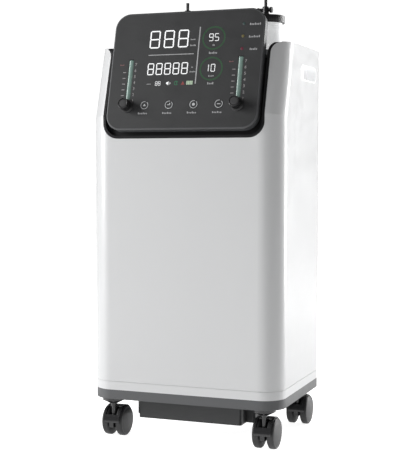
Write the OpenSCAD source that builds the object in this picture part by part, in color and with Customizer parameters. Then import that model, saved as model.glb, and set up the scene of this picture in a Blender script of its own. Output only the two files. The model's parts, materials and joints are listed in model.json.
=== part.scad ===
// Floor-standing oxygen concentrator with two flow circuits.
// Millimetres, +Z up, front towards -Y. The origin is on the floor under the middle of the machine.

/* [Cabinet] */
// width of the cabinet
body_w = 380; // [360:5:420]
// depth of the cabinet, front face to rear face
body_d = 295; // [285:5:320]
// plan radius of the cabinet's upright corners
corner_r = 42; // [34:1:46]
// thickness of the moulded shells
wall = 3.2; // [2.6:0.1:4]
// height of the cheeks at the top of the cabinet
top_z = 750; // [740:5:770]
// angle that the upper front leans back
lean = 17; // [12:1:18]
// depth of the front shell, front face to seam
seam_d = 62; // [60:1:66]

/* [Base] */
// underside of the base plate above the floor
base_z = 79; // [77:1:83]
// thickness of the base plate
base_t = 18; // [16:1:19]
// height of the skirt between the base plate and the shells
skirt_h = 16.7; // [15:0.1:20]

/* [Console] */
// width of the console slab
console_w = 300; // [290:2:304]
// length of the console slab up its slope
console_h = 229; // [224:1:230]
// corner radius of the console slab
console_r = 30; // [24:1:34]
// angle that the console leans back from upright
console_tilt = 14.4; // [13:0.2:15]
// half-width of the cradle opening in the shell
cradle_half = 160; // [156:1:162]
// underside of the cradle opening
cradle_z = 574.5; // [570:0.5:578]

/* [Flow meters] */
// sideways offset of the two flow meters on the console
meter_x = 109; // [106:1:112]
// bore radius of a flow tube
tube_bore_r = 2.8; // [2.6:0.1:3]
// travel of a float up its tube
float_travel = 70; // [60:1:70]
// radius of a flow knob's grip
knob_r = 10.8; // [10:0.2:11.4]
// how far a flow knob stands out of the console
knob_len = 20; // [16:1:22]

/* [Humidifier bottles] */
// sideways offset of the two bottles
bottle_x = 84; // [80:1:88]
// distance from the cabinet's front face back to the bottles
bottle_d = 245; // [240:1:247]
// outer radius of a bottle
bottle_r = 34.5; // [32:0.5:35]
// top of a bottle's lid above the floor
lid_z = 822.5; // [820:0.5:826]
// tip of an outlet post above the floor
post_z = 857; // [853:1:862]
// outer radius of an outlet post, a push fit in 6 mm tubing
post_r = 3.2; // [3:0.1:3.4]

/* [Casters] */
// radius of a caster wheel
wheel_r = 29; // [27:0.5:30]
// width of one of a caster's two wheels
wheel_w = 16; // [14:0.5:17]
// gap between the two wheels of a caster
wheel_gap = 10; // [9:0.5:11]
// sideways offset of the swivel axes
swivel_x = 152.6; // [150:0.2:154]
// distance from the cabinet's front face to the front swivel axes
swivel_front = 28; // [26:1:30]
// distance from the cabinet's front face to the rear swivel axes
swivel_rear = 249; // [246:1:250]
// distance that a wheel's axle trails its swivel axis
trail = 17; // [15:1:18]

/* [Hidden] */
$fn = 64;
side_x = body_w / 2;
base_top = base_z + base_t;
shell_z = base_top + skirt_h;
bend_r = 120;
bend_z = 600;
lean_y = bend_r * (1 - cos(lean));
lean_z = bend_z + bend_r * sin(lean);
brow_r = 22;
cheek_r = 20;
well_back = body_d - 9;
console_foot = [-13, 590.5];
console_t = 6;
tray_t = 12;
plate_gap = 4;
cradle_t = 5;
tube_r = 4.4;
tube_low = 58;
tube_high = tube_low + float_travel + 9;
tube_depth = 5.4;
knob_v = 46;
knob_stem_r = 3;
key_u = [-73.5, -24.5, 24.5, 73.5];
key_v = 47;
key_r = 8.5;
led_v = [151, 175, 199];
deck_z = 722;
bottle_foot = 610.4;
lid_skirt_z = lid_z - 15;
hood_r = 31;
wheel_disc = 4;
stem_r = 5.5;
fit_gap = 0.06;
axle_r = 3;
recess_y = 186;
recess_z = 700;
recess_w = 108;
recess_h = 30;
recess_depth = 20;
bay = [300, 222];
bay_y = 142;
bay_top = 330;
filter_z = 452;
filter_size = 150;
panel_x = -95;
panel_z = 190;
panel_w = 120;
panel_h = 76;
front_most = console_foot[0] + (knob_v - knob_r) * sin(console_tilt) - knob_len * cos(console_tilt);
rear_most = swivel_rear + trail + hood_r;
mid_y = (front_most + rear_most) / 2;

// which node to draw

// ---- placing ----

// Measures from the cabinet's front face instead of from the middle of the machine.
module from_front() {
    translate([0, -mid_y, 0]) children();
}

// The console's own frame: X across, Y up its slope from the lower edge, Z out of its face.
module on_console() {
    from_front()
        translate([0, console_foot[0], console_foot[1]])
            rotate([90 - console_tilt, 0, 0])
                children();
}

// Both flow meters, left and right of the console.
module at_meters() {
    for (side = [-1, 1])
        translate([side * meter_x, 0, 0]) children();
}

// The swivel axis of one caster at the floor.
module at_swivel(side, depth) {
    from_front() translate([side * swivel_x, depth, 0]) children();
}

// ---- shared shapes ----

// Rectangle with round corners, centred.
module round_rect(w, h, r) {
    square([w - 2 * r, h], center = true);
    square([w, h - 2 * r], center = true);
    for (x = [-1, 1], y = [-1, 1])
        translate([x * (w / 2 - r), y * (h / 2 - r)]) circle(r);
}

// The cabinet's plan, drawn in by inset, from the front face back to depth.
module plan(inset, depth) {
    r = corner_r - inset;
    w = body_w - 2 * inset;
    translate([-w / 2, inset + r]) square([w, depth - inset - r]);
    translate([-w / 2 + r, inset]) square([w - 2 * r, r]);
    for (side = [-1, 1])
        translate([side * (w / 2 - r), inset + r]) circle(r);
}

// The cabinet's full plan, with all four corners round.
module full_plan(inset) {
    translate([0, body_d / 2])
        round_rect(body_w - 2 * inset, body_d - 2 * inset, corner_r - inset);
}

// A bar along X whose section is drawn in Y and Z.
module along_x(length) {
    rotate([90, 0, 90]) linear_extrude(length, center = true) children();
}

// A bar along Y, running back from the origin, whose section is drawn in X and Z.
module along_y(length) {
    translate([0, length, 0]) rotate([90, 0, 0]) linear_extrude(length) children();
}

// What a round edge leaves over, drawn in Y and Z: the wedge in front of a circle, from low to high
// degrees above the forward direction.
module edge_waste(y, z, r, low, high) {
    reach = r + 60;
    difference() {
        polygon([[y, z], [y - reach * cos(low), z + reach * sin(low)],
            [y - reach * cos(high), z + reach * sin(high)]]);
        translate([y, z]) circle(r);
    }
}

// The cabinet as it would be if it leaned back over its whole height, drawn in by inset.
module leaning_body(inset) {
    translate([0, bend_r, bend_z])
        rotate([-lean, 0, 0])
            translate([0, -bend_r, -600]) linear_extrude(900) plan(inset, 480);
}

// The solid front of the cabinet, drawn in by inset: upright, then a soft bend, then leaning back.
module front_solid(inset, depth) {
    below = inset > 0 ? 0.5 : 0;
    brow_z = top_z - brow_r;
    brow_y = lean_y + (brow_r + (brow_z - lean_z) * sin(lean)) / cos(lean);
    difference() {
        intersection() {
            translate([0, 0, shell_z - 1]) linear_extrude(top_z) plan(inset, 110);
            leaning_body(inset);
            translate([-side_x - 5, -5, shell_z - below])
                cube([body_w + 10, depth + 5, top_z - shell_z - inset + below]);
        }
        along_x(body_w + 2) edge_waste(bend_r, bend_z, bend_r - inset, 0, lean);
        along_x(body_w + 2) edge_waste(brow_y, brow_z, brow_r - inset, lean, 90);
    }
}

// The cradle opening seen from the front, grown by grow. Its top corners flare over the cheeks.
module cradle_shape(grow) {
    half = cradle_half + grow;
    foot_r = 30 + grow;
    low = cradle_z - grow;
    flare_z = top_z - cheek_r;
    translate([-half, low + foot_r]) square([2 * half, top_z + 10 - low - foot_r]);
    translate([-half + foot_r, low]) square([2 * (half - foot_r), foot_r + 1]);
    for (side = [-1, 1]) {
        translate([side * (half - foot_r), low + foot_r]) circle(foot_r);
        difference() {
            translate([side * cradle_half - (side > 0 ? 8 : cheek_r), flare_z])
                square([cheek_r + 8, cheek_r + 10]);
            translate([side * (cradle_half + cheek_r), flare_z]) circle(cheek_r - grow);
        }
    }
}

// The part of the cradle opening above low.
module open_top(grow, low) {
    intersection() {
        cradle_shape(grow);
        translate([-side_x - 5, low]) square([body_w + 10, 400]);
    }
}

// A shallow cup along Z with its mouth at z = 0, drawn from its outside size.
module cup(w, h, r, depth, skin) {
    difference() {
        translate([0, 0, -depth]) linear_extrude(depth) round_rect(w, h, r);
        translate([0, 0, skin - depth])
            linear_extrude(depth) round_rect(w - 2 * skin, h - 2 * skin, r - skin);
    }
}

// Faces the side of the cabinet at its handle recess, with Z pointing out of the wall.
module at_recess(side) {
    from_front()
        translate([side * side_x, recess_y, recess_z])
            rotate([90, 0, side * 90]) children();
}

// Faces the cabinet's back, with X to the left seen from the front and Z pointing out.
module at_back(x, y, z) {
    from_front() translate([x, y, z]) rotate([90, 0, 180]) children();
}

// ---- base and shells ----

module base_plate() {
    color("#585b5e") from_front() difference() {
        translate([0, 0, base_z]) linear_extrude(base_t) full_plan(0);
        for (side = [-1, 1], depth = [swivel_front, swivel_rear])
            translate([side * swivel_x, depth, base_z - 1]) cylinder(h = base_t + 2, r = 9);
        translate([-80, 65, base_z - 1]) cube([160, 130, base_t + 2]);
    }
}

module caster_sockets() {
    low = base_z - 13;
    bore = stem_r + fit_gap;
    color("#1b1c1e") for (side = [-1, 1], depth = [swivel_front, swivel_rear])
        at_swivel(side, depth)
            rotate_extrude()
                polygon([[bore, low], [8.5, low], [21.5, low + 6.5], [21.5, base_z], [8.9, base_z],
                    [8.9, base_top - 1], [bore, base_top - 1]]);
}

module lower_skirt() {
    groove = 0.8;
    color("#dfe1e2") from_front() difference() {
        union() {
            translate([0, 0, base_top]) linear_extrude(skirt_h - groove) full_plan(0);
            translate([0, 0, base_top]) linear_extrude(skirt_h) full_plan(1);
        }
        translate([0, 0, base_top - 1]) linear_extrude(skirt_h + 2) full_plan(wall);
    }
}

module front_shell() {
    color("#e6e7e7") from_front() difference() {
        front_solid(0, seam_d);
        difference() {
            front_solid(wall, seam_d + 1);
            along_y(seam_d + 2) cradle_shape(wall);
        }
        translate([0, -1, 0]) along_y(seam_d + 3) cradle_shape(0);
    }
}

module rear_shell() {
    lining = 700;
    depth = body_d - seam_d;
    color("#e6e7e7") difference() {
        union() {
            from_front() rear_walls(lining);
            from_front() for (side = [-1, 1])
                translate([side * (cradle_half - 3) - 6, seam_d + 6, 716]) cube([12, depth - 20, 6]);
            at_back(0, body_d - 1, filter_z) filter_seat();
        }
        for (side = [-1, 1])
            at_recess(side) translate([0, 0, -10]) linear_extrude(20)
                round_rect(recess_w, recess_h, 14);
        at_back(0, body_d, filter_z) cube([filter_size, filter_size, 30], center = true);
        at_back(panel_x, body_d, panel_z) translate([0, 0, -6]) linear_extrude(10)
            round_rect(panel_w, panel_h, 8);
        from_front() translate([0, seam_d - 1, 0]) along_y(well_back - seam_d + 1)
            open_top(0, lining + 25);
    }
}

// The rear shell's outer walls, with a lining that hangs down inside its open top.
module rear_walls(lining) {
    difference() {
        intersection() {
            translate([0, 0, shell_z]) linear_extrude(top_z - shell_z) full_plan(0);
            leaning_body(0);
            translate([-side_x - 5, seam_d, 0]) cube([body_w + 10, body_d, 1000]);
        }
        difference() {
            intersection() {
                translate([0, 0, shell_z - 1])
                    linear_extrude(top_z - shell_z - wall + 1) full_plan(wall);
                leaning_body(wall);
            }
            translate([0, seam_d, 0]) along_y(well_back + wall - seam_d) open_top(wall, lining);
        }
        translate([0, seam_d - 1, 0]) along_y(well_back - seam_d + 1) open_top(0, lining - 1);
    }
}

// The open frame behind the rear grille that the foam sits in.
module filter_seat() {
    outer = filter_size + 6;
    deep = 22;
    difference() {
        translate([-outer / 2, -outer / 2, -deep]) cube([outer, outer, deep]);
        translate([-filter_size / 2, -filter_size / 2, 2 - deep])
            cube([filter_size, filter_size, deep]);
        translate([-65, -65, -deep - 1]) cube([130, 130, deep]);
    }
}

module handle_cups() {
    gap = 0.3;
    color("#d5d7d8") for (side = [-1, 1])
        at_recess(side) cup(recess_w - gap, recess_h - gap, 14 - gap / 2, recess_depth, 2);
}

// ---- cradle, well and bottles ----

module cradle() {
    gap = 0.3;
    back = console_t + tray_t + plate_gap;
    color("#0e0f10") {
        from_front() intersection() {
            front_solid(0.6, seam_d - 0.3);
            along_y(seam_d) difference() {
                cradle_shape(-gap);
                cradle_shape(-gap - cradle_t);
            }
        }
        intersection() {
            on_console() translate([-200, -40, -back - 3]) cube([400, 320, 3]);
            from_front() along_y(seam_d - 0.3) intersection() {
                cradle_shape(-gap - 1);
                translate([-side_x, 0]) square([body_w, deck_z - 1]);
            }
        }
    }
}

module bottle_well() {
    rim = 752;
    low = 607;
    half = 128;
    front = 200;
    back = well_back - 0.4;
    color("#3f4245") from_front() difference() {
        union() {
            translate([-cradle_half + 0.4, seam_d, deck_z])
                cube([2 * cradle_half - 0.8, back - seam_d, 5]);
            translate([-cradle_half + cradle_t + 1, 48, deck_z])
                cube([2 * (cradle_half - cradle_t - 1), seam_d - 48 + 1, 5]);
            translate([0, (front + back) / 2, low])
                linear_extrude(rim - low) round_rect(2 * half, back - front, 20);
        }
        translate([0, (front + back) / 2, low + 3])
            linear_extrude(rim) round_rect(2 * half - 6, back - front - 6, 17);
    }
}

module bottle(side) {
    inner = bottle_r - 1.8;
    neck = bottle_r - 1.2;
    color("#d9e0e3", 0.45) from_front() translate([side * bottle_x, bottle_d, 0])
        rotate_extrude()
            polygon([[0, bottle_foot], [bottle_r - 4, bottle_foot], [bottle_r, bottle_foot + 4],
                [bottle_r, 798], [neck, 801], [neck, lid_z - 5.5], [neck - 1.8, lid_z - 5.5],
                [neck - 1.8, 801], [inner, 797], [inner, bottle_foot + 6],
                [inner - 4, bottle_foot + 2.5], [0, bottle_foot + 2.5]]);
}

module lid(side) {
    outer = 38;
    bore = bottle_r - 0.8;
    color("#2c2e30") from_front() translate([side * bottle_x, bottle_d, 0])
        rotate_extrude()
            polygon([[bore, lid_skirt_z], [outer, lid_skirt_z], [outer, lid_z - 2],
                [outer - 2, lid_z], [5, lid_z], [5, lid_z - 5], [bore, lid_z - 5]]);
}

// The fitting on a lid: hub, inlet arm on the left, relief cap on the right, outlet post on top.
module outlet_fitting(side) {
    arm_z = lid_z + 12.5;
    color("#18191a") from_front() translate([side * bottle_x, bottle_d, 0]) difference() {
        union() {
            translate([0, 0, lid_z]) cylinder(h = 5, r = 9);
            translate([0, 0, lid_z]) cylinder(h = 19, r = 6.5);
            translate([0, 0, lid_z - 6]) cylinder(h = 7, r = 4.9);
            translate([0, 0, lid_z + 10]) cylinder(h = post_z - lid_z - 10, r = post_r);
            translate([-17, 0, arm_z]) rotate([0, 90, 0]) cylinder(h = 17, r = 3.6);
            translate([-17, 0, arm_z]) rotate([0, 90, 0]) cylinder(h = 3, r = 4.6);
            translate([0, 0, arm_z]) rotate([0, 90, 0]) cylinder(h = 10, r = 3.6);
            translate([9, 0, arm_z]) rotate([0, 90, 0]) cylinder(h = 4.5, r = 5.8);
        }
        translate([0, 0, lid_z + 12]) cylinder(h = 40, r = 1.8);
        translate([-18, 0, arm_z]) rotate([0, 90, 0]) cylinder(h = 12, r = 1.8);
    }
}

module diffuser(side) {
    color("#c8ced2") from_front() translate([side * bottle_x, bottle_d, 0]) {
        translate([0, 0, 640]) cylinder(h = lid_z - 6 - 640, r = 3);
        translate([0, 0, 624]) cylinder(h = 20, r = 6.5);
    }
}

module oxygen_ports() {
    deck_top = 727;
    color("#c9a04e") from_front() for (side = [-1, 1])
        translate([side * bottle_x, 176, deck_top]) difference() {
            union() {
                cylinder(h = 6, r = 8);
                cylinder(h = 24, r = post_r);
            }
            translate([0, 0, 8]) cylinder(h = 20, r = 1.8);
        }
}

// ---- console ----

// The console's outline, drawn in by inset, with its lower edge on the X axis.
module console_outline(inset) {
    translate([0, console_h / 2])
        round_rect(console_w - 2 * inset, console_h - 2 * inset, console_r - inset);
}

module console_back() {
    color("#26282a") on_console() difference() {
        union() {
            translate([0, 0, -console_t - tray_t]) linear_extrude(tray_t) console_outline(0.6);
            translate([-90, 30, -console_t - tray_t - plate_gap]) cube([180, 120, plate_gap + 1]);
        }
        translate([0, 0, 2.5 - console_t - tray_t]) linear_extrude(tray_t) console_outline(3.2);
    }
}

module console_face() {
    color("#45484b") on_console() difference() {
        union() {
            translate([0, 0, -console_t]) linear_extrude(console_t - 1.5) console_outline(0);
            translate([0, 0, -console_t]) linear_extrude(console_t - 0.6) console_outline(0.5);
            translate([0, 0, -console_t]) linear_extrude(console_t) console_outline(1.4);
        }
        at_meters() {
            translate([-4.8, tube_low, -10]) cube([9.6, tube_high - tube_low, 20]);
            translate([0, knob_v, -10]) cylinder(h = 20, r = knob_stem_r + fit_gap);
        }
        for (u = key_u)
            translate([u, key_v, -10]) cylinder(h = 20, r = key_r + 0.3);
        for (v = led_v)
            translate([meter_x, v, -10]) cylinder(h = 20, r = 3);
    }
}

module display_board() {
    color("#1f5138") on_console() {
        translate([-96, 28, -9.6]) cube([192, 188, 1.6]);
        translate([-118, 147.5, -9.6]) cube([236, 60, 1.6]);
        translate([-85, 75, -9]) cube([170, 130, 2.8]);
        for (u = key_u)
            translate([u - 3, key_v - 3, -9]) cube([6, 6, 4.6]);
    }
}

module status_leds() {
    color("#3ddc84") on_console() for (v = led_v)
        translate([meter_x, v, 0]) {
            translate([0, 0, -7]) cylinder(h = 1, r = 3.5);
            translate([0, 0, -7]) cylinder(h = 7.2, r = 2.9);
        }
}

// One round key of the row under the display.
module key(index) {
    color("#4a4d50") on_console()
        translate([key_u[index], key_v, -3]) cylinder(h = 3.3, r = key_r);
}

module flowmeter_blocks() {
    depth = -15;
    color("#9fb3b3") on_console() at_meters() {
        difference() {
            translate([-11, 31, depth]) cube([22, tube_low - 31, 8.9]);
            translate([0, knob_v, depth - 1]) cylinder(h = 12, r = knob_stem_r + fit_gap);
        }
        translate([-8, tube_high, depth]) cube([16, 9, 8.9]);
    }
}

module flow_tubes() {
    color("#a9c9bf", 0.6) on_console() at_meters()
        translate([0, tube_low, -tube_depth]) rotate([-90, 0, 0]) difference() {
            cylinder(h = tube_high - tube_low, r = tube_r);
            translate([0, 0, -1]) cylinder(h = 100, r = tube_bore_r);
        }
}

module float_ball(side) {
    ball_r = tube_bore_r - 0.4;
    color("#1b1c1e") on_console()
        translate([side * meter_x, tube_low + ball_r + 0.4, -tube_depth]) sphere(ball_r);
}

module flow_knob(side) {
    clear = 0.5;
    color("#17181a") on_console() translate([side * meter_x, knob_v, 0])
        rotate_extrude()
            polygon([[0, -14.5], [knob_stem_r, -14.5], [knob_stem_r, clear], [13, clear],
                [13, 2], [knob_r + 1, 4.5], [knob_r, knob_len - 1.5], [knob_r - 1.5, knob_len],
                [0, knob_len]]);
}

// ---- back of the cabinet ----

module filter_cover() {
    size = filter_size - 0.8;
    color("#c9cbcc") at_back(0, body_d, filter_z) difference() {
        translate([-size / 2, -size / 2, -4.5]) cube([size, size, 7]);
        for (row = [-5:5])
            translate([-60, row * 11.5 - 2.6, -6]) cube([120, 5.2, 12]);
    }
}

module filter_foam() {
    size = filter_size - 3;
    color("#34383b") at_back(0, body_d, filter_z)
        translate([-size / 2, -size / 2, -20]) cube([size, size, 15]);
}

module power_panel() {
    gap = 0.3;
    depth = 12;
    color("#2a2c2e") at_back(panel_x, body_d, panel_z) difference() {
        union() {
            cup(panel_w - gap, panel_h - gap, 8 - gap / 2, depth, 2.5);
            translate([-27.5, -12.5, -depth - 12]) cube([19, 25, 13]);
            translate([-44, 0, -depth - 9]) cylinder(h = 10, r = 6.5);
        }
        translate([14, -12, -40]) cube([30, 24, 60]);
        translate([-25.6, -10.4, -depth - 10]) cube([15.2, 20.8, 60]);
        translate([-44, 0, -depth - 7]) cylinder(h = 40, r = 4.05);
    }
}

module inlet_socket() {
    seat = -9.5;
    color("#141516") at_back(panel_x, body_d, panel_z) translate([29, 0, 0]) {
        difference() {
            union() {
                translate([-20, -15, seat]) cube([40, 30, 2]);
                translate([-14.8, -11.8, seat - 18]) cube([29.6, 23.6, 18]);
            }
            translate([-12.2, -8.4, seat - 15]) cube([24.4, 16.8, 30]);
        }
        for (pin = [[-7, -2], [0, 2], [7, -2]])
            translate([pin[0] - 1, pin[1] - 2, seat - 16]) cube([2, 4, 14]);
    }
}

// The rocker rests with its lower edge pressed in.
module power_rocker() {
    press = 8;
    color("#b52a22") at_back(panel_x, body_d, panel_z)
        translate([-18, 0, -12]) rotate([press, 0, 0])
            along_x(14.4) intersection() {
                circle(9.9);
                polygon([[-10, -5], [10, -5], [10, 7.2], [0, 4.8], [-10, 7.2]]);
            }
}

module breaker_button() {
    color("#e8e8e6") at_back(panel_x, body_d, panel_z)
        translate([-44, 0, -15]) cylinder(h = 11, r = 4);
}

// ---- under the cabinet ----

// The duct's plan, drawn in by inset: a narrow front box that steps out to a wider one, open behind.
module duct_plan(inset) {
    bevel = 3;
    front = 38 + inset;
    step = 70 + inset;
    rear = 198 + 2 * inset;
    half = 104 - inset;
    rear_half = 121 - inset;
    right = [[half - bevel, front], [half, front + bevel], [half, step], [rear_half - bevel, step],
        [rear_half, step + bevel], [rear_half, rear]];
    left = [for (i = [len(right) - 1:-1:0]) [-right[i][0], right[i][1]]];
    polygon(concat(right, left));
}

module exhaust_duct() {
    low = base_z - 40;
    color("#4a4d50") from_front() difference() {
        translate([0, 0, low]) linear_extrude(base_z - low) duct_plan(0);
        translate([0, 0, low + 3]) linear_extrude(base_z) duct_plan(3);
    }
}

// The web between a caster's wheels. It is cut back in front, where the stem runs down it.
module hood_web() {
    intersection() {
        circle(hood_r - 1);
        translate([-50, -10]) square([100, 60]);
        union() {
            circle(22);
            translate([-10, 0]) square(60);
            translate([-50, -50]) square([100, 57]);
        }
    }
}

// A caster's swivelling hood with its stem and axle. The hood ends level with the axle.
module caster_hood(side, depth) {
    width = 2 * (wheel_w - wheel_disc) + wheel_gap;
    color("#191a1c") at_swivel(side, depth) {
        difference() {
            translate([0, trail, wheel_r]) along_x(width) difference() {
                circle(hood_r);
                circle(hood_r - 1.7);
                translate([-100, -100]) square([200, 100]);
            }
            translate([-13, -60, wheel_r + 15]) cube([26, 67, 60]);
        }
        translate([0, trail, wheel_r]) {
            along_x(wheel_gap - 1.2) hood_web();
            along_x(2 * wheel_w + wheel_gap - 5) circle(axle_r);
        }
        translate([0, 0, wheel_r + 8]) cylinder(h = 30, r = 4.4);
        translate([0, 0, wheel_r + 33]) cylinder(h = base_top - 4 - wheel_r - 33, r = stem_r);
    }
}

// One wheel of a caster, on the left or right of its hood. Its outer face is a closed dome.
module wheel(side, depth, hand) {
    inner = wheel_gap / 2 + 0.2;
    outer = wheel_gap / 2 + wheel_w;
    bore = axle_r + fit_gap;
    color("#202123") at_swivel(side, depth)
        translate([0, trail, wheel_r]) rotate([0, hand * 90, 0])
            rotate_extrude()
                polygon([[0, outer - 2], [bore, outer - 2], [bore, inner], [wheel_r - 9, inner],
                    [wheel_r - 3.5, inner + 1.6], [wheel_r - 1, inner + 3.2], [wheel_r, inner + 4.8],
                    [wheel_r, outer - wheel_disc], [wheel_r - 0.6, outer - 1.5],
                    [wheel_r - 2.5, outer], [wheel_r - 4, outer - 0.4], [18, outer + 0.6],
                    [9, outer + 1.3], [0, outer + 1.6]]);
}

// ---- inside ----

module sound_box() {
    lining = 5;
    color("#8d9194") from_front() translate([0, bay_y, 0]) difference() {
        translate([-bay[0] / 2, -bay[1] / 2, base_top]) cube([bay[0], bay[1], bay_top - base_top]);
        translate([-bay[0] / 2 + lining, -bay[1] / 2 + lining, base_top + lining])
            cube([bay[0] - 2 * lining, bay[1] - 2 * lining, bay_top]);
        translate([-70, 65 - bay_y, base_top - 1]) cube([140, 130, 10]);
    }
}

module bay_lid() {
    color("#9a9ea1") from_front() difference() {
        translate([-bay[0] / 2, bay_y - bay[1] / 2, bay_top]) cube([bay[0], bay[1], 6]);
        translate([0, 95, bay_top - 1]) cylinder(h = 10, r = 55);
    }
}

module compressor() {
    deck = base_top + 5 + 22;
    color("#a7abad") from_front() translate([0, bay_y, deck]) {
        translate([-115, -55, 0]) cube([230, 110, 6]);
        translate([0, 0, 55]) rotate([0, 90, 0]) cylinder(h = 150, r = 50, center = true);
        for (side = [-1, 1])
            translate([side * 88, 0, 5]) {
                cylinder(h = 115, r = 26);
                for (fin = [0:5])
                    translate([0, 0, 60 + fin * 8]) cylinder(h = 3, r = 32);
            }
    }
}

module compressor_mounts() {
    color("#151515") from_front() for (x = [-100, 100], y = [-45, 45])
        translate([x, bay_y + y, base_top + 5]) cylinder(h = 22, r = 9);
}

module fan_frame() {
    color("#1a1b1d") from_front() translate([0, 95, bay_top + 6]) {
        difference() {
            translate([-60, -60, 0]) cube([120, 120, 25]);
            translate([0, 0, -1]) cylinder(h = 30, r = 55);
        }
        cylinder(h = 4, r = 20);
        cylinder(h = 20, r = 2);
        for (turn = [0:90:270])
            rotate([0, 0, turn + 45]) translate([18, -3, 0]) cube([40, 6, 4]);
    }
}

module fan_rotor() {
    color("#26282a") from_front() translate([0, 95, bay_top + 6]) {
        difference() {
            translate([0, 0, 5]) cylinder(h = 18, r = 20);
            translate([0, 0, 4]) cylinder(h = 16.5, r = 2 + fit_gap);
        }
        for (turn = [0:40:320])
            rotate([0, 0, turn]) translate([18, 0, 14]) rotate([38, 0, 0])
                translate([0, -9, -1]) cube([34, 18, 2]);
    }
}

module sieve_beds() {
    color("#c3c6c8") from_front() for (side = [-1, 1])
        translate([side * 112, 150, bay_top + 6]) {
            cylinder(h = 220, r = 36);
            for (z = [0, 212])
                translate([0, 0, z]) cylinder(h = 8, r = 37.5);
        }
}

module oxygen_tank() {
    color("#d4d6d6") from_front() translate([0, 205, bay_top + 6]) {
        cylinder(h = 180, r = 32);
        translate([0, 0, 180]) cylinder(h = 12, r = 8);
    }
}

module valve_manifold() {
    foot = bay_top + 6 + 220;
    color("#8b8f92") from_front() {
        translate([-130, 135, foot]) cube([260, 30, 22]);
        for (x = [-75, -25, 25, 75])
            translate([x, 150, foot + 21]) cylinder(h = 26, r = 12);
    }
}

module control_board() {
    front = 8.2;
    color("#1f5138") from_front() {
        translate([-90, front, 380]) cube([180, 1.6, 140]);
        for (x = [-80, 80], z = [390, 510])
            translate([x - 4, wall, z - 4]) cube([8, front - wall + 1, 8]);
        translate([-70, front + 1, 400]) cube([50, 20, 40]);
        for (x = [10, 35, 60])
            translate([x, front + 1, 430]) rotate([-90, 0, 0]) cylinder(h = 22, r = 10);
    }
}

base_plate();
caster_sockets();
lower_skirt();
front_shell();
rear_shell();
handle_cups();
cradle();
bottle_well();
console_back();
console_face();
display_board();
status_leds();
key(0);  // key_1
key(1);  // key_2
key(2);  // key_3
key(3);  // key_4
flowmeter_blocks();
flow_tubes();
float_ball(-1);  // float_left
float_ball(1);  // float_right
flow_knob(-1);  // flow_knob_left
flow_knob(1);  // flow_knob_right
bottle(-1);  // bottle_left
bottle(1);  // bottle_right
lid(-1);  // lid_left
lid(1);  // lid_right
outlet_fitting(-1);  // outlet_fitting_left
outlet_fitting(1);  // outlet_fitting_right
diffuser(-1);  // diffuser_left
diffuser(1);  // diffuser_right
oxygen_ports();
exhaust_duct();
filter_cover();
filter_foam();
power_panel();
inlet_socket();
power_rocker();
breaker_button();
sound_box();
bay_lid();
compressor();
compressor_mounts();
fan_frame();
fan_rotor();
sieve_beds();
oxygen_tank();
valve_manifold();
control_board();
caster_hood(-1, swivel_front);  // hood_fl
caster_hood(1, swivel_front);  // hood_fr
caster_hood(-1, swivel_rear);  // hood_rl
caster_hood(1, swivel_rear);  // hood_rr
wheel(-1, swivel_front, -1);  // wheel_fl_l
wheel(-1, swivel_front, 1);  // wheel_fl_r
wheel(1, swivel_front, -1);  // wheel_fr_l
wheel(1, swivel_front, 1);  // wheel_fr_r
wheel(-1, swivel_rear, -1);  // wheel_rl_l
wheel(-1, swivel_rear, 1);  // wheel_rl_r
wheel(1, swivel_rear, -1);  // wheel_rr_l
wheel(1, swivel_rear, 1);  // wheel_rr_r
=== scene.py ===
"""Looks for the oxygen concentrator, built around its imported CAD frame. Metres, +Z up, front towards -Y."""
import json
import math

import bmesh
import bpy
from mathutils import Matrix, Vector


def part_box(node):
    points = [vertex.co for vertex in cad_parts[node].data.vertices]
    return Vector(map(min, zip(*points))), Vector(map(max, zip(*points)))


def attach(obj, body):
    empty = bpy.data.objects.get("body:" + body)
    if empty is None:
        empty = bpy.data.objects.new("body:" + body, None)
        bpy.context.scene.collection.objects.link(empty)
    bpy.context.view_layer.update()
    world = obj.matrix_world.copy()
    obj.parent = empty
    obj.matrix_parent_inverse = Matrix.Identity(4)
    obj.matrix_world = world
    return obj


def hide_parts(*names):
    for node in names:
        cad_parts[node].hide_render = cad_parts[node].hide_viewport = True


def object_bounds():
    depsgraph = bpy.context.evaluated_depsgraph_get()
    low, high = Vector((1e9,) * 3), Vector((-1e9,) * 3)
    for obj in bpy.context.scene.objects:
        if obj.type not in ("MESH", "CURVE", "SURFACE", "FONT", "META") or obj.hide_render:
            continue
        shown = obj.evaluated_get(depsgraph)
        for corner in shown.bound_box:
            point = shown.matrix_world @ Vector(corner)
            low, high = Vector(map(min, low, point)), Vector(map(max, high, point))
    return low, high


MM = 0.001

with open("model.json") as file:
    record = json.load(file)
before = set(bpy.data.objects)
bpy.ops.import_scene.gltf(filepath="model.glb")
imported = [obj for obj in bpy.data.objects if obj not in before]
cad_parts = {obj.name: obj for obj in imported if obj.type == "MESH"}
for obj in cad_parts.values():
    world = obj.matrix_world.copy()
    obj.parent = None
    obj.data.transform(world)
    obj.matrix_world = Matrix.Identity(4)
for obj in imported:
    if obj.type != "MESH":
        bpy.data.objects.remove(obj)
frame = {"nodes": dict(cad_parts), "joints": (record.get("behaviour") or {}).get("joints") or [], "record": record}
CAD_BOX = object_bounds()
NODES = frame["nodes"]
JOINTS = {joint["name"]: joint for joint in frame["joints"]}
FLOOR_Z = CAD_BOX[0][2]
FRONT_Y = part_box("front_shell")[0].y


# ---- materials ----

def new_material(name):
    """An empty node material, its tree and its Principled shader."""
    material = bpy.data.materials.new(name)
    material.use_nodes = True
    tree = material.node_tree
    return material, tree, tree.nodes["Principled BSDF"]


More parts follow.
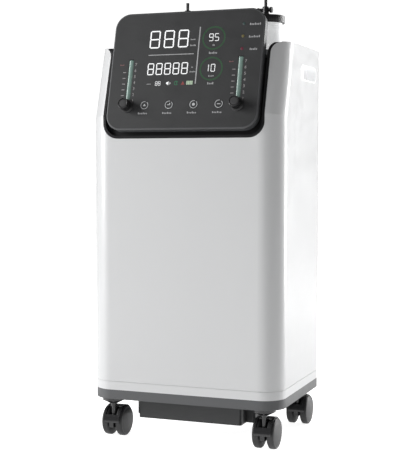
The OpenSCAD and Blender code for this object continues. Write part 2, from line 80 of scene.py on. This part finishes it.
def noise(tree, scale, detail=3.0, stretch=(1, 1, 1)):
    """Noise in the object's own metres: scale is features per metre."""
    coords = tree.nodes.new("ShaderNodeTexCoord")
    mapping = tree.nodes.new("ShaderNodeMapping")
    mapping.inputs["Scale"].default_value = stretch
    texture = tree.nodes.new("ShaderNodeTexNoise")
    texture.inputs["Scale"].default_value = scale
    texture.inputs["Detail"].default_value = detail
    tree.links.new(coords.outputs["Object"], mapping.inputs["Vector"])
    tree.links.new(mapping.outputs["Vector"], texture.inputs["Vector"])
    return texture.outputs["Fac"]


def spread(tree, value, low, high):
    """Maps the middle of a noise's range to low..high."""
    node = tree.nodes.new("ShaderNodeMapRange")
    node.inputs["From Min"].default_value = 0.3
    node.inputs["From Max"].default_value = 0.7
    node.inputs["To Min"].default_value = low
    node.inputs["To Max"].default_value = high
    tree.links.new(value, node.inputs["Value"])
    return node.outputs["Result"]


def tint(tree, factor, first, second):
    """A colour that runs from first to second with factor."""
    node = tree.nodes.new("ShaderNodeMix")
    node.data_type = "RGBA"
    node.inputs["A"].default_value = (*first, 1)
    node.inputs["B"].default_value = (*second, 1)
    tree.links.new(factor, node.inputs["Factor"])
    return node.outputs["Result"]


WORN_FROM = 0.52
WORN_FULL = 0.62


def edge_wear(tree):
    """1 on sharp outer edges, 0 elsewhere."""
    geometry = tree.nodes.new("ShaderNodeNewGeometry")
    ramp = tree.nodes.new("ShaderNodeMapRange")
    ramp.inputs["From Min"].default_value = WORN_FROM
    ramp.inputs["From Max"].default_value = WORN_FULL
    tree.links.new(geometry.outputs["Pointiness"], ramp.inputs["Value"])
    return ramp.outputs["Result"]


def grain_bump(tree, shader, scale, depth):
    """Fine moulded or cast grain."""
    bump = tree.nodes.new("ShaderNodeBump")
    bump.inputs["Strength"].default_value = 0.6
    bump.inputs["Distance"].default_value = depth
    tree.links.new(noise(tree, scale, 2.0), bump.inputs["Height"])
    tree.links.new(bump.outputs["Normal"], shader.inputs["Normal"])


def shade(colour, factor):
    """The colour made darker or lighter."""
    return tuple(min(1.0, channel * factor) for channel in colour)


def moulded(name, colour, rough, grain=1800, depth=0.00004, coat=0.0, metal=0.0, gloss=0.5,
            vary=0.04, rubbed=1.25, glow=0.0):
    """Moulded, cast or painted surface: faint mottling, uneven gloss, fine grain and rubbed edges.

    grain is features per metre and depth is metres. vary is how far the mottling strays from the
    colour, rubbed is how much lighter worn edges are, and glow is painted light that the surface gives off.
    """
    material, tree, shader = new_material(name)
    body = tint(tree, spread(tree, noise(tree, 9), 0, 1), shade(colour, 1 - vary), shade(colour, 1 + vary))
    worn = tree.nodes.new("ShaderNodeMix")
    worn.data_type = "RGBA"
    worn.inputs["B"].default_value = (*shade(colour, rubbed), 1)
    tree.links.new(edge_wear(tree), worn.inputs["Factor"])
    tree.links.new(body, worn.inputs["A"])
    tree.links.new(worn.outputs["Result"], shader.inputs["Base Color"])
    tree.links.new(spread(tree, noise(tree, 40), rough * 0.88, rough * 1.12), shader.inputs["Roughness"])
    shader.inputs["Metallic"].default_value = metal
    shader.inputs["Specular IOR Level"].default_value = gloss
    shader.inputs["Emission Color"].default_value = (*colour, 1)
    shader.inputs["Emission Strength"].default_value = glow
    shader.inputs["Coat Weight"].default_value = coat
    shader.inputs["Coat Roughness"].default_value = 0.12
    grain_bump(tree, shader, grain, depth)
    return material


def clear_plastic(name, colour, rough, transmission, glow=0.0):
    """Clear or milky plastic with flow lines. glow is painted light that stands for the light that seeps through
    it.
    """
    material, tree, shader = new_material(name)
    streaks = spread(tree, noise(tree, 60, 2.0, (1, 1, 0.15)), 0, 1)
    tree.links.new(tint(tree, streaks, shade(colour, 0.96), colour), shader.inputs["Base Color"])
    tree.links.new(spread(tree, noise(tree, 90), rough * 0.8, rough * 1.2), shader.inputs["Roughness"])
    shader.inputs["Transmission Weight"].default_value = transmission
    shader.inputs["IOR"].default_value = 1.45
    shader.inputs["Emission Color"].default_value = (*colour, 1)
    shader.inputs["Emission Strength"].default_value = glow
    grain_bump(tree, shader, 300, 0.00003)
    return material


def lit(name, colour, strength):
    """A lit display segment or lamp, a little uneven as a backlight is."""
    material, tree, shader = new_material(name)
    glow = tint(tree, spread(tree, noise(tree, 220), 0, 1), shade(colour, 0.9), colour)
    tree.links.new(glow, shader.inputs["Base Color"])
    tree.links.new(glow, shader.inputs["Emission Color"])
    tree.links.new(spread(tree, noise(tree, 150), 0.35, 0.5), shader.inputs["Roughness"])
    shader.inputs["Emission Strength"].default_value = strength
    return material


def brushed(name, colour, rough):
    """Sheet metal with a brushed lay."""
    material, tree, shader = new_material(name)
    lay = noise(tree, 900, 2.0, (0.05, 1, 1))
    tree.links.new(tint(tree, lay, shade(colour, 0.85), shade(colour, 1.1)), shader.inputs["Base Color"])
    tree.links.new(spread(tree, lay, rough * 0.8, rough * 1.3), shader.inputs["Roughness"])
    shader.inputs["Metallic"].default_value = 1.0
    grain_bump(tree, shader, 2500, 0.00002)
    return material


MATERIALS = {
    "shell_white": moulded("shell_white", (0.66, 0.665, 0.67), 0.33, 1400, 0.00002, coat=0.15,
                           vary=0.01, rubbed=1.0),
    "skirt_white": moulded("skirt_white", (0.67, 0.675, 0.68), 0.36, 1400, 0.00002, coat=0.1,
                           vary=0.01, rubbed=1.0),
    # The handle cups' white is paler than the shell's and glows: painted light in cup recesses that stand in
    # shade.
    "cup_white_painted_light": moulded("cup_white_painted_light", (0.85, 0.855, 0.86), 0.36, 1400, 0.00002, vary=0.01, glow=0.25),
    "base_grey": moulded("base_grey", (0.085, 0.087, 0.090), 0.5, 1600, 0.00004),
    "cradle_black": moulded("cradle_black", (0.010, 0.010, 0.011), 0.6, 1600, 0.00003, gloss=0.2),
    "console_grey": moulded("console_grey", (0.0265, 0.027, 0.028), 0.5, 2600, 0.00002, vary=0.02),
    "console_back_grey": moulded("console_back_grey", (0.05, 0.052, 0.055), 0.5),
    "key_grey": moulded("key_grey", (0.025, 0.0255, 0.0265), 0.45, 2600, 0.00002, vary=0.02),
    "well_grey": moulded("well_grey", (0.075, 0.078, 0.082), 0.5),
    "board_green": moulded("board_green", (0.01, 0.09, 0.04), 0.3, 900, 0.00002),
    "led_lens": lit("led_lens", (0.20, 0.62, 0.40), 0.3),
    "meter_block": clear_plastic("meter_block", (0.62, 0.72, 0.70), 0.15, 0.4),
    "meter_tube": clear_plastic("meter_tube", (0.23, 0.34, 0.30), 0.25, 0.1),
    "float_black": moulded("float_black", (0.02, 0.02, 0.02), 0.15),
    "knob_black": moulded("knob_black", (0.011, 0.011, 0.0115), 0.3, 2000, 0.00003),
    # The knob's face is lighter than its body: painted light where light falls on the face.
    "knob_face_painted_light": moulded("knob_face_painted_light", (0.055, 0.055, 0.056), 0.35, 2200, 0.00003),
    # The console's bevel is paler than its face: a painted highlight along the edge.
    "rim_highlight_grey": moulded("rim_highlight_grey", (0.07, 0.072, 0.075), 0.4, 2600, 0.00002),
    # The bottles glow: painted light that brightens them where the console and shell shade them.
    "bottle_clear": clear_plastic("bottle_clear", (0.92, 0.93, 0.935), 0.3, 0.0, glow=0.4),
    "lid_grey": moulded("lid_grey", (0.009, 0.009, 0.0095), 0.4),
    "fitting_black": moulded("fitting_black", (0.010, 0.010, 0.011), 0.3, coat=0.1),
    "diffuser_white": moulded("diffuser_white", (0.6, 0.62, 0.63), 0.6, 900, 0.0002),
    "port_brass": moulded("port_brass", (0.55, 0.38, 0.13), 0.25, metal=1.0),
    "duct_grey": moulded("duct_grey", (0.033, 0.034, 0.035), 0.5),
    "cover_grey": moulded("cover_grey", (0.60, 0.61, 0.62), 0.42, vary=0.015),
    "foam_grey": moulded("foam_grey", (0.03, 0.032, 0.034), 0.95, 1200, 0.0008, vary=0.3),
    "panel_black": moulded("panel_black", (0.03, 0.031, 0.033), 0.45),
    "inlet_black": moulded("inlet_black", (0.015, 0.015, 0.016), 0.35),
    "rocker_red": moulded("rocker_red", (0.45, 0.02, 0.015), 0.25, coat=0.3),
    "breaker_white": moulded("breaker_white", (0.75, 0.75, 0.73), 0.3),
    "box_steel": moulded("box_steel", (0.35, 0.36, 0.37), 0.5),
    "lid_steel": brushed("lid_steel", (0.55, 0.56, 0.57), 0.35),
    "compressor_alloy": moulded("compressor_alloy", (0.50, 0.51, 0.52), 0.45, 700, 0.0003, metal=1.0),
    "mount_rubber": moulded("mount_rubber", (0.02, 0.02, 0.02), 0.75),
    "fan_black": moulded("fan_black", (0.02, 0.02, 0.021), 0.45),
    "bed_alloy": brushed("bed_alloy", (0.65, 0.66, 0.67), 0.3),
    "tank_white": moulded("tank_white", (0.70, 0.71, 0.71), 0.35, coat=0.3),
    "manifold_alloy": brushed("manifold_alloy", (0.50, 0.52, 0.53), 0.35),
    "hood_black": moulded("hood_black", (0.018, 0.018, 0.019), 0.22, 900, 0.00003, coat=0.5),
    "wheel_black": moulded("wheel_black", (0.030, 0.030, 0.031), 0.45),
    "lit_white": lit("lit_white", (0.90, 0.91, 0.92), 0.45),
    "lit_soft": lit("lit_soft", (0.52, 0.53, 0.54), 0.1),
    # The print materials give off a faint light though print is no lamp: a faint painted glow on printed marks.
    "print_pale": lit("print_pale", (0.42, 0.42, 0.43), 0.05),
    "print_grey": lit("print_grey", (0.42, 0.40, 0.405), 0.06),
    "print_rose": lit("print_rose", (0.26, 0.12, 0.12), 0.04),
    "lit_green": lit("lit_green", (0.026, 0.072, 0.034), 0.2),
    "dim_green": lit("dim_green", (0.03, 0.14, 0.07), 0.3),
    "dim_red": lit("dim_red", (0.22, 0.05, 0.05), 0.3),
    "dim_battery": lit("dim_battery", (0.36, 0.46, 0.34), 0.4),
    "lamp_green": lit("lamp_green", (0.032, 0.056, 0.052), 0.12),
    "lamp_amber": lit("lamp_amber", (0.12, 0.10, 0.035), 0.2),
    "lamp_red": lit("lamp_red", (0.12, 0.016, 0.034), 0.2),
}

for part in frame["record"]["subparts"]:
    # The handle cups take the paler, glowing white: painted light for their shaded recesses.
    finish = "cup_white_painted_light" if part["node"] == "handle_cups" else part["material_slot"]
    mesh = NODES[part["node"]].data
    mesh.materials.clear()
    mesh.materials.append(MATERIALS[finish])


# ---- camera, light and floor ----

CAMERA_YAW = math.radians(20.92)
CAMERA_PITCH = math.radians(3.18)
CAMERA_FROM_FRONT = Vector((0.77996, -1.93658, 0.52667))
SENSOR_WIDTH_MM = 36
FOCAL_LENGTH_MM = 89.66

camera_data = bpy.data.cameras.new("camera")
camera_data.sensor_width = SENSOR_WIDTH_MM
camera_data.lens = FOCAL_LENGTH_MM
camera = bpy.data.objects.new("camera", camera_data)
camera.location = CAMERA_FROM_FRONT + Vector((0, FRONT_Y, 0))
camera.rotation_euler = (math.pi / 2 - CAMERA_PITCH, 0, CAMERA_YAW)
bpy.context.collection.objects.link(camera)
bpy.context.scene.camera = camera


def softbox(name, width, height, place, target, power):
    """A rectangular light at place, facing target. Sizes in metres, power in watts."""
    light = bpy.data.lights.new(name, "AREA")
    light.shape = "RECTANGLE"
    light.size = width
    light.size_y = height
    light.energy = power
    lamp = bpy.data.objects.new(name, light)
    lamp.location = place
    lamp.rotation_euler = (Vector(target) - Vector(place)).to_track_quat("-Z", "Y").to_euler()
    bpy.context.collection.objects.link(lamp)


softbox("key_softbox", 1.0, 2.0, (-2.6, -1.6, 1.3), (0, -0.1, 0.45), 84)
softbox("rim_softbox", 0.6, 2.2, (1.95, 2.5, 0.9), (0, 0, 0.4), 95)
softbox("top_softbox", 3.0, 3.0, (0.2, 0.4, 2.8), (0, 0, 0), 14)
bpy.context.scene.view_settings.view_transform = "Standard"


def white_backdrop(tree, strength, lighting, seen):
    """Lights the scene at one level and shows the backdrop itself at another, brighter one."""
    rays = tree.nodes.new("ShaderNodeLightPath")
    level = tree.nodes.new("ShaderNodeMapRange")
    level.inputs["To Min"].default_value = lighting
    level.inputs["To Max"].default_value = seen
    tree.links.new(rays.outputs["Is Camera Ray"], level.inputs["Value"])
    tree.links.new(level.outputs["Result"], strength)


WORLD_LEVELS = (0.12, 1.1)
FLOOR_LEVELS = (0.45, 0.92)

world = bpy.data.worlds.new("studio")
world.use_nodes = True
world_tree = world.node_tree
background = world_tree.nodes["Background"]
background.inputs["Color"].default_value = (1, 1, 1, 1)
white_backdrop(world_tree, background.inputs["Strength"], *WORLD_LEVELS)
bpy.context.scene.world = world

FLOOR_MATERIAL = moulded("floor_pale", (0.93, 0.93, 0.93), 0.7, 60, 0.0001, vary=0.005)
floor_shader = FLOOR_MATERIAL.node_tree.nodes["Principled BSDF"]
floor_shader.inputs["Emission Color"].default_value = (1, 1, 1, 1)
white_backdrop(FLOOR_MATERIAL.node_tree, floor_shader.inputs["Emission Strength"], *FLOOR_LEVELS)
FLOOR_CORNERS = ((-12, -6), (12, -6), (12, 40), (-12, 40))
floor_mesh = bpy.data.meshes.new("floor")
floor_mesh.from_pydata([(x, y, FLOOR_Z) for x, y in FLOOR_CORNERS], [], [(0, 1, 2, 3)])
floor = bpy.data.objects.new("floor", floor_mesh)
floor_mesh.materials.append(FLOOR_MATERIAL)
bpy.context.collection.objects.link(floor)


# ---- mesh helpers ----

SMOOTH_BELOW = math.radians(35)


def add_piece(name, builder, body, material):
    """Makes a bmesh into a piece that rides on a body."""
    mesh = bpy.data.meshes.new(name)
    bmesh.ops.recalc_face_normals(builder, faces=builder.faces)
    builder.to_mesh(mesh)
    builder.free()
    mesh.materials.append(material)
    for face in mesh.polygons:
        face.use_smooth = True
    mesh.set_sharp_from_angle(angle=SMOOTH_BELOW)
    piece = bpy.data.objects.new(name, mesh)
    bpy.context.collection.objects.link(piece)
    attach(piece, body)
    return piece


def lathe(builder, profile, matrix, steps, wobble=None):
    """Turns a closed (radius, height) profile about Z. wobble(i, radius) may change the radius at step i."""
    rings = []
    for i in range(steps):
        angle = 2 * math.pi * i / steps
        ring = []
        for radius, height in profile:
            r = wobble(i, radius) if wobble else radius
            point = matrix @ Vector((r * math.cos(angle), r * math.sin(angle), height))
            ring.append(builder.verts.new(point))
        rings.append(ring)
    count = len(profile)
    for i in range(steps):
        here, there = rings[i], rings[(i + 1) % steps]
        for j in range(count):
            k = (j + 1) % count
            builder.faces.new((here[j], there[j], there[k], here[k]))
    bmesh.ops.remove_doubles(builder, verts=builder.verts, dist=1e-6)


def prism(builder, outline, low, high, place):
    """Extrudes a closed (x, y) outline from low to high; place turns (x, y, z) into a world point."""
    bottom = [builder.verts.new(place(x, y, low)) for x, y in outline]
    top = [builder.verts.new(place(x, y, high)) for x, y in outline]
    count = len(outline)
    for i in range(count):
        j = (i + 1) % count
        builder.faces.new((bottom[i], bottom[j], top[j], top[i]))
    builder.faces.new(top)
    builder.faces.new(list(reversed(bottom)))


def in_metres(profile):
    """A (radius, height) profile in mm, turned into metres."""
    return [(radius * MM, height * MM) for radius, height in profile]


def arc(x, y, radius, start, end, steps):
    """Points on a circular arc, degrees."""
    angles = [math.radians(start + (end - start) * i / steps) for i in range(steps + 1)]
    return [(x + radius * math.cos(a), y + radius * math.sin(a)) for a in angles]


# ---- console ----

KNOB_V = 46 * MM
KNOB_W = 10 * MM
NORMAL = Vector(JOINTS["knob_left_turn"]["axis"]).normalized()
SLOPE = NORMAL.cross(Vector((1, 0, 0)))
KNOB_LEFT = Vector(JOINTS["knob_left_turn"]["pos_m"])
KNOB_RIGHT = Vector(JOINTS["knob_right_turn"]["pos_m"])
CONSOLE_FOOT = (KNOB_LEFT + KNOB_RIGHT) / 2 - KNOB_V * SLOPE - KNOB_W * NORMAL
METER_U = KNOB_RIGHT.x / MM


def on_console(u, v, w):
    """A point u mm across, v mm up the slope and w mm out of the console's face."""
    return CONSOLE_FOOT + Vector((u * MM, 0, 0)) + v * MM * SLOPE + w * MM * NORMAL


def console_basis(u, v):
    """A frame on the console's face whose Z points out of it."""
    basis = Matrix((Vector((1, 0, 0)), SLOPE, NORMAL)).transposed().to_4x4()
    return Matrix.Translation(on_console(u, v, 0)) @ basis


PRINT_LOW = 0.02
PRINT_HIGH = 0.12
SEGMENTS = {0: "abcdef", 1: "bc", 5: "afgcd", 8: "abcdefg", 9: "abcdfg"}


class Print:
    """Marks printed or lit on the console's face, all in one material. Sizes in mm."""

    def __init__(self):
        self.builder = bmesh.new()

    def shape(self, outline):
        """A flat mark with a closed (u, v) outline."""
        prism(self.builder, outline, PRINT_LOW, PRINT_HIGH, on_console)

    def bar(self, u, v, width, height):
        """A bar with cut corners, centred."""
        c = min(width, height) * 0.25
        x, y = width / 2, height / 2
        self.shape([(u - x + c, v - y), (u + x - c, v - y), (u + x, v - y + c), (u + x, v + y - c),
                    (u + x - c, v + y), (u - x + c, v + y), (u - x, v + y - c), (u - x, v - y + c)])

    def ring(self, u, v, radius, width, start=0, end=360, steps=48):
        """An arc of a ring, as short blocks."""
        steps = max(6, int(steps * abs(end - start) / 360))
        outer = arc(u, v, radius + width / 2, start, end, steps)
        inner = arc(u, v, radius - width / 2, start, end, steps)
        for i in range(steps):
            self.shape([inner[i], outer[i], outer[i + 1], inner[i + 1]])

    def segment(self, u, v, length, thick, upright):
        """One display segment with pointed ends, centred."""
        a, b = length / 2, thick / 2
        points = [(-a, 0), (-a + b, -b), (a - b, -b), (a, 0), (a - b, b), (-a + b, b)]
        if upright:
            points = [(-y, x) for x, y in points]
        self.shape([(u + x, v + y) for x, y in points])

    def digit(self, u, v, width, height, thick, value):
        """A seven-segment digit, centred."""
        x, y = (width - thick) / 2, (height - thick) / 2
        across, up = width - thick * 1.15, y - thick * 0.15
        spots = {"a": (0, y, False), "g": (0, 0, False), "d": (0, -y, False), "f": (-x, y / 2, True),
                 "b": (x, y / 2, True), "e": (-x, -y / 2, True), "c": (x, -y / 2, True)}
        for name in SEGMENTS[value]:
            du, dv, upright = spots[name]
            self.segment(u + du, v + dv, up if upright else across, thick, upright)

    def finish(self, name, material):
        """Makes the marks into one piece that stays on the cabinet."""
        add_piece(name, self.builder, "cabinet", material)


SMALL_LETTER = 0.72
LETTER_FILL = 0.62


def greek(marks, u, v, width, height, blocks):
    """A row of small blocks in place of a printed word."""
    pitch = width / blocks
    for i in range(blocks):
        tall = height * (1.0 if i % 3 == 0 else SMALL_LETTER)
        marks.bar(u - width / 2 + pitch * (i + 0.5), v - (height - tall) / 2, pitch * LETTER_FILL, tall)


# Digits as (u, v, width, height, stroke, value) and words as (u, v, width, height, blocks), in mm.
BIG_DIGITS = [(-64.9 + i * 28.6, 175, 20.6, 34.6, 2.4, 8) for i in range(3)]
ROW_DIGITS = [(-68 + i * 17.0, 117, 12.8, 23, 1.8, 8) for i in range(5)]
SMALL_DIGITS = [(-54 + i * 6.0, 88.6, 4.6, 8.2, 0.7, 8) for i in range(2)]
GAUGE_DIGITS = [(47.4, 175, 8.4, 14.6, 1.2, 9), (58.4, 175, 8.4, 14.6, 1.2, 5),
                (43.6, 116, 8.4, 14.6, 1.2, 1), (56.0, 116, 8.4, 14.6, 1.2, 0)]
DISPLAY_RULES = [(-30, 144.5, 91, 1.5), (24, 141.5, 2.2, 110), (-69, 88, 9, 1.0)]
DISPLAY_WORDS = [(11.5, 172.5, 10, 2.8, 4), (12.5, 161, 12, 3.4, 5), (15, 118.5, 4, 2.4, 2),
                 (16.5, 110, 12, 2.8, 5), (53.5, 160, 4.6, 3.4, 2), (53.5, 145, 17, 4.2, 6),
                 (53.5, 100.5, 11, 2.8, 4), (53.5, 86.5, 13, 4.2, 4)]
GAUGE_U = 52.6
GAUGE_HEIGHTS = (173.7, 114.5)
GAUGE_R = 21.4
SYMBOL_V = 88.6


def print_display():
    """The display's lit digits, its rules and words, and the rings round its two gauges."""
    white = Print()
    for digit in BIG_DIGITS + ROW_DIGITS + SMALL_DIGITS + GAUGE_DIGITS:
        white.digit(*digit)
    white.finish("display_digits", MATERIALS["lit_white"])

    rules = Print()
    for rule in DISPLAY_RULES:
        rules.bar(*rule)
    for word in DISPLAY_WORDS:
        greek(rules, *word)
    rules.finish("display_rules", MATERIALS["print_pale"])

    green = Print()
    for v in GAUGE_HEIGHTS:
        green.ring(GAUGE_U, v, GAUGE_R, 3.0, steps=72)
    green.finish("display_rings", MATERIALS["lit_green"])


def print_symbols():
    """The row of small symbols under the digits."""
    speaker = Print()
    speaker.shape([(-34, 87), (-32, 87), (-29.5, 84.8), (-29.5, 92.6), (-32, 90.4), (-34, 90.4)])
    speaker.ring(-29.5, 88.7, 3.2, 0.8, -40, 40)
    speaker.finish("display_speaker", MATERIALS["lit_white"])

    flow = Print()
    flow.ring(-14, SYMBOL_V, 3.6, 1.3, 30, 330)
    flow.bar(-13, SYMBOL_V, 1.2, 6)
    flow.finish("display_flow_symbol", MATERIALS["dim_green"])

    alarm = Print()
    alarm.shape([(-4.5, 85), (3, 85), (-0.75, 92.4)])
    alarm.finish("display_alarm_symbol", MATERIALS["dim_red"])

    battery = Print()
    for i in range(4):
        battery.bar(7.6 + i * 3.2, SYMBOL_V, 2.6, 7.6)
    battery.finish("display_battery", MATERIALS["dim_battery"])


def scale_number(value, u, v, height):
    """A printed numeral, centred."""
    curve = bpy.data.curves.new("numeral", "FONT")
    curve.body = str(value)
    curve.size = height * 1.4
    curve.align_x = "CENTER"
    curve.align_y = "CENTER"
    curve.resolution_u = 3
    text = bpy.data.objects.new("numeral", curve)
    bpy.context.collection.objects.link(text)
    flat = text.to_mesh()
    points = [(vertex.co.x, vertex.co.y) for vertex in flat.vertices]
    faces = [tuple(face.vertices) for face in flat.polygons]
    text.to_mesh_clear()
    bpy.data.objects.remove(text)
    return [(u + x, v + y) for x, y in points], faces


def print_scales():
    """Ticks and numerals beside both flow tubes."""
    marks = Print()
    heading = Print()
    numerals = bmesh.new()
    for side in (-1, 1):
        centre = side * METER_U
        greek(heading, centre - 18.5, 127, 8.5, 2.6, 4)
        for i in range(5):
            marks.bar(centre - 12, 66.8 + i * 11.3, 6.0, 1.1)
        for i in range(7):
            points, faces = scale_number(i + 1, centre + 10, 56 + i * 11.8, 5.6)
            verts = [numerals.verts.new(on_console(x, y, PRINT_HIGH)) for x, y in points]
            for face in faces:
                numerals.faces.new([verts[index] for index in face])
    heading.finish("scale_heading", MATERIALS["print_rose"])
    marks.finish("scale_ticks", MATERIALS["print_grey"])
    add_piece("scale_numerals", numerals, "cabinet", MATERIALS["print_grey"])


KEY_STANDS = 0.3
KEY_RING_R = 7.1


def print_keys():
    """A round symbol on each key, which moves with it, and a row of blocks under it."""
    words = Print()
    for number in range(1, 5):
        low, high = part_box(f"key_{number}")
        u = (low.x + high.x) / 2 / MM
        v = ((low + high) / 2 - CONSOLE_FOOT).dot(SLOPE) / MM
        greek(words, u - 2.5, v - 15.5, 19, 3.6, 6)
        symbol = Print()
        symbol.ring(u, v, KEY_RING_R, 1.1, 75, 285, 60)
        symbol.ring(u, v, KEY_RING_R, 1.1, -70, 50, 60)
        if number == 1:
            symbol.shape([(u - 3, v - 1.6), (u + 3, v - 1.6), (u, v + 3)])
        elif number == 2:
            symbol.bar(u, v, 6, 1.3)
            symbol.bar(u + 1.8, v + 1.6, 1.3, 4)
        elif number == 3:
            symbol.ring(u, v, 1.6, 2.4)
        else:
            symbol.bar(u, v, 7, 1.5)
        for vert in symbol.builder.verts:
            vert.co += NORMAL * KEY_STANDS * MM
        add_piece(f"key_symbol_{number}", symbol.builder, f"key_{number}_body", MATERIALS["lit_soft"])
    words.finish("key_words", MATERIALS["print_pale"])


LENS_PROFILE = [(0, -7), (2.9, -7), (2.9, -0.2), (2.4, 0.14), (1.4, 0.26), (0, 0.3)]
# Each lamp's v, and the width and number of the blocks beside it. Sizes in mm.
LAMPS = {"lamp_green": (199, 22, 7), "lamp_amber": (175, 22, 7), "lamp_red": (151, 15, 5)}
LAMP_WORDS_U = 131


def print_lamps():
    """Blocks beside the three status lights, and each light's own coloured lens."""
    words = Print()
    for name, (v, width, blocks) in LAMPS.items():
        greek(words, LAMP_WORDS_U, v - 1.5, width, 4.2, blocks)
        lens = bmesh.new()
        lathe(lens, in_metres(LENS_PROFILE), console_basis(METER_U, v), 28)
        add_piece(name, lens, "cabinet", MATERIALS[name])
    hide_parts("status_leds")
    words.finish("lamp_words", MATERIALS["print_pale"])


def rounded_outline(width, height, radius, inset):
    """The console's outline drawn in by inset, its lower edge at v = inset. Sizes in mm."""
    x, y, r = width / 2 - radius, height / 2 - radius, radius - inset
    corners = ((x, y, 0), (-x, y, 90), (-x, -y, 180), (x, -y, 270))
    points = []
    for cx, cy, start in corners:
        points += arc(cx, cy + height / 2, r, start, start + 90, 12)
    return points


RIM_SECTION = ((-0.1, -3), (-0.1, -1.9), (0.3, -0.8), (1.1, -0.05), (2.0, 0.1), (2.9, 0.1),
               (2.9, -0.4), (1.0, -3))
CONSOLE_R = 30
CONSOLE_THICK = 6


def console_rim():
    """The bevel round the console's face, paler than the face: a painted highlight along the edge."""
    low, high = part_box("console_face")
    width = (high.x - low.x) / MM
    height = (high.z - low.z) / MM / SLOPE.z - CONSOLE_THICK * abs(NORMAL.z) / SLOPE.z
    builder = bmesh.new()
    rings = []
    for inset, w in RIM_SECTION:
        outline = rounded_outline(width, height, CONSOLE_R, inset)
        rings.append([builder.verts.new(on_console(u, v, w)) for u, v in outline])
    count = len(rings[0])
    for i, ring in enumerate(rings):
        following = rings[(i + 1) % len(rings)]
        for j in range(count):
            k = (j + 1) % count
            builder.faces.new((ring[j], ring[k], following[k], following[j]))
    bmesh.ops.remove_doubles(builder, verts=builder.verts, dist=1e-6)
    add_piece("console_rim", builder, "cabinet", MATERIALS["rim_highlight_grey"])


KNOB_PROFILE = [(0, -14), (3, -14), (3, 0.5), (13, 0.5), (13, 1.6), (12.4, 2.4), (11.4, 2.9),
                (10.8, 4), (10.5, 18), (10, 19.2), (8.8, 19.9), (7.6, 19.7), (7.2, 19.3), (0, 19.3)]
FLUTE_DEPTH = 0.45
KNOB_FACE_PROFILE = [(0, 18.5), (6.9, 18.5), (6.9, 19.5), (6.5, 19.85), (4, 19.95), (0, 20)]


def flow_knobs():
    """Fluted knobs with a thin skirt and an inset face."""

    def flute(i, radius):
        grip = 10.4 * MM < radius < 10.9 * MM
        return radius - (FLUTE_DEPTH * MM if grip and i % 6 < 2 else 0)

    for name, joint_place in (("left", KNOB_LEFT), ("right", KNOB_RIGHT)):
        body = f"knob_{name}_body"
        basis = console_basis(joint_place.x / MM, KNOB_V / MM)
        builder = bmesh.new()
        lathe(builder, in_metres(KNOB_PROFILE), basis, 144, flute)
        knob = add_piece(f"knob_{name}", builder, body, MATERIALS["knob_black"])
        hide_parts(f"flow_knob_{name}")
        # The face piece carries the lighter material, painted light on the knob's face.
        face = bmesh.new()
        lathe(face, in_metres(KNOB_FACE_PROFILE), basis, 48)
        add_piece(f"knob_face_painted_light_{name}", face, body, MATERIALS["knob_face_painted_light"])


TUBE_LOW = 58.2
TUBE_HIGH = 135.5
TUBE_END = 0.5


def flow_lenses():
    """A clear lens over each flow tube that fills its slot, bored for the float."""
    crown = arc(0, -8.4, 8.9, 58, 122, 12)
    outer = [(-4.6, -9.6), (4.6, -9.6), (4.6, -0.9)] + crown + [(-4.6, -0.9)]
    bore = arc(0, -5.4, 2.8, -90, 270, 32)[:-1]
    for name, u in (("left", -METER_U), ("right", METER_U)):
        builder = bmesh.new()
        for outline, end in ((outer, 0), (bore, TUBE_END)):
            moved = [(u + x, w) for x, w in outline]
            prism(builder, moved, TUBE_LOW + end, TUBE_HIGH - end, lambda x, w, v: on_console(x, v, w))
        tube = MATERIALS["meter_tube"]
        add_piece(f"flow_lens_{name}", builder, "cabinet", tube)
    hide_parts("flow_tubes")


RIB_DEPTH = 0.4


def ribbed_lids():
    """Lids with grip ribs round the skirt and a sunk ring on top."""
    low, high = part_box("lid_left")
    top = (high.z - low.z) / MM
    profile = [(33.7, 0), (37.4, 0), (38, 0.6), (38, top - 1.6), (37.5, top - 0.5), (36.4, top), (31, top),
               (30.4, top - 0.6), (29.4, top - 0.6), (28.8, top), (5, top), (5, top - 5), (33.7, top - 5)]

    def rib(i, radius):
        return radius - (RIB_DEPTH * MM if radius > 37.9 * MM and i % 4 < 2 else 0)

    for name in ("left", "right"):
        low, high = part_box(f"lid_{name}")
        place = Matrix.Translation(((low.x + high.x) / 2, (low.y + high.y) / 2, low.z))
        builder = bmesh.new()
        lathe(builder, in_metres(profile), place, 240, rib)
        lid = add_piece(f"lid_ribbed_{name}", builder, f"lid_{name}_body", MATERIALS["lid_grey"])
        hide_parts(f"lid_{name}")


LEVELS = (70, 150, 182)


def level_marks():
    """Raised water lines on each bottle."""
    clear = MATERIALS["bottle_clear"]
    for name in ("left", "right"):
        low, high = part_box(f"bottle_{name}")
        radius = (high.x - low.x) / 2
        builder = bmesh.new()
        inner, outer, tall = radius - 0.3 * MM, radius + 0.35 * MM, 0.6 * MM
        profile = [(inner, -tall), (outer, -tall / 2), (outer, tall / 2), (inner, tall)]
        for level in LEVELS:
            place = Matrix.Translation(((low.x + high.x) / 2, (low.y + high.y) / 2, low.z + level * MM))
            lathe(builder, profile, place, 72)
        add_piece(f"level_marks_{name}", builder, f"bottle_{name}_body", clear)


SHARP_EDGE = math.radians(40)


def soften(node, width):
    """Rounds a moulding's sharp edges."""
    bevel = NODES[node].modifiers.new("soft_edges", "BEVEL")
    bevel.width = width
    bevel.segments = 2
    bevel.limit_method = "ANGLE"
    bevel.angle_limit = SHARP_EDGE
    bevel.use_clamp_overlap = True
    bevel.harden_normals = True


for shell in ("front_shell", "rear_shell"):
    soften(shell, 1.3 * MM)
for plate in ("base_plate", "exhaust_duct", "lower_skirt"):
    soften(plate, 0.8 * MM)


print_display()
print_symbols()
print_scales()
print_keys()
print_lamps()
console_rim()
flow_knobs()
flow_lenses()
ribbed_lids()
level_marks()
